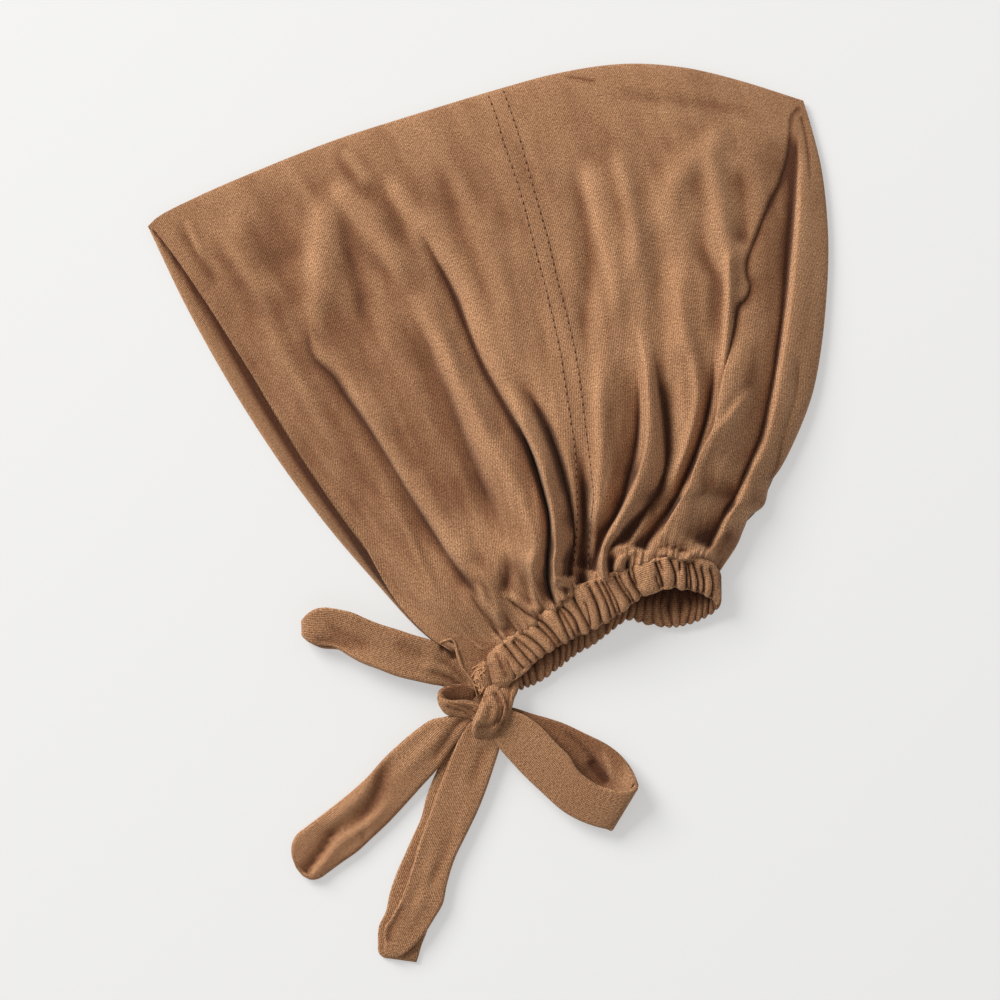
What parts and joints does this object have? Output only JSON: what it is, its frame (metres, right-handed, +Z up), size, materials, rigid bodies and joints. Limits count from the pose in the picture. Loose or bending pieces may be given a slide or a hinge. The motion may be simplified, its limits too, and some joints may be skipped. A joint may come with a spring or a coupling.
{
  "type": "hijab underscarf cap",
  "caption": "Tie-back jersey underscarf cap lying on its side: doubled front panel, gathered back panel, ruffled elastic neck casing and ties in a bow.",
  "frame": {"origin": "on the surface that the cap lies on, under the middle of its box", "axes": "+X from the face edge towards the back of the head, +Y from the bow towards the crown, +Z up out of the surface"},
  "size_m": [0.299, 0.3956, 0.0257],
  "materials": {
    "panel_jersey": "soft matt viscose jersey, heathered camel brown",
    "casing_jersey": "the same jersey, ruffled over elastic",
    "tie_jersey": "the same jersey, sewn into flat tubes"
  },
  "bodies": {
    "root": {"front_panel": "panel_jersey", "back_panel": "panel_jersey", "neck_casing": "casing_jersey", "knot_wrap": "tie_jersey", "knot_turn": "tie_jersey", "knot_lead": "tie_jersey", "bow_loop_right": "tie_jersey", "bow_loop_left": "tie_jersey", "tail_left": "tie_jersey", "tail_lower": "tie_jersey"}
  },
  "joints": []
}
